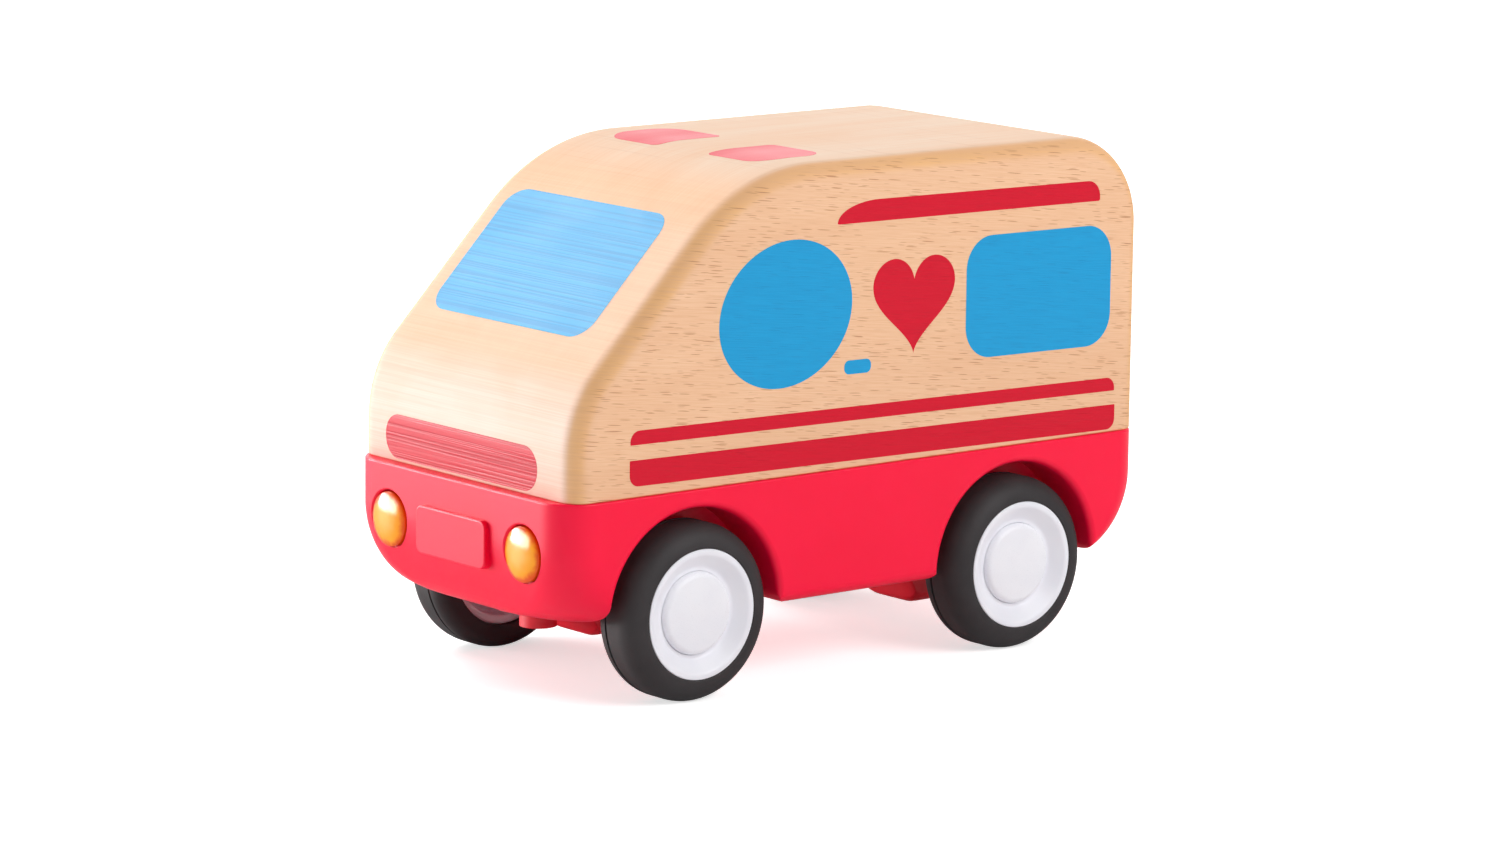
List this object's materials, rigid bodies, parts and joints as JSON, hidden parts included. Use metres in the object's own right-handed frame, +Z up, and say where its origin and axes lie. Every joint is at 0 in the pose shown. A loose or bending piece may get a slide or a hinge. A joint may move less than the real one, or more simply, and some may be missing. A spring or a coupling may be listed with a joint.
{
  "type": "toy ambulance",
  "caption": "Push-along toy ambulance: a rounded beech cabin block on a red moulded chassis with amber headlights, free-rolling on rubber-tyred wheels.",
  "frame": {"origin": "on the ground under the middle of the toy, half way along its length and its width", "axes": "+X towards the nose, +Y towards the toy's left side, +Z up"},
  "size_m": [0.1352, 0.0668, 0.0933],
  "materials": {
    "beech": "bare sanded beech with screen print",
    "chassis_red": "satin moulded plastic",
    "cover_red": "satin moulded plastic",
    "lens_amber": "clear amber plastic",
    "tyre_black": "matte rubber",
    "hub_white": "satin moulded plastic",
    "cap_white": "satin moulded plastic",
    "axle_steel": "drawn steel rod",
    "screw_steel": "zinc plated steel"
  },
  "bodies": {
    "cabin_and_chassis": {"body_block": "beech", "chassis_shell": "chassis_red", "front_axle_cover": "cover_red", "rear_axle_cover": "cover_red", "headlight_lens_left": "lens_amber", "headlight_lens_right": "lens_amber", "body_screws": "screw_steel", "cover_screws": "screw_steel"},
    "front_wheels": {"front_axle": "axle_steel", "tyre_front_left": "tyre_black", "tyre_front_right": "tyre_black", "wheel_hub_front_left": "hub_white", "wheel_hub_front_right": "hub_white", "hub_cap_front_left": "cap_white", "hub_cap_front_right": "cap_white"},
    "rear_wheels": {"rear_axle": "axle_steel", "tyre_rear_left": "tyre_black", "tyre_rear_right": "tyre_black", "wheel_hub_rear_left": "hub_white", "wheel_hub_rear_right": "hub_white", "hub_cap_rear_left": "cap_white", "hub_cap_rear_right": "cap_white"}
  },
  "joints": [
    {"name": "front_axle_spin", "type": "hinge", "parent": "cabin_and_chassis", "child": "front_wheels", "pos_m": [0.0374, 0, 0.016], "axis": [0, 1, 0], "continuous": true},
    {"name": "rear_axle_spin", "type": "hinge", "parent": "cabin_and_chassis", "child": "rear_wheels", "pos_m": [-0.0374, 0, 0.016], "axis": [0, 1, 0], "continuous": true}
  ]
}
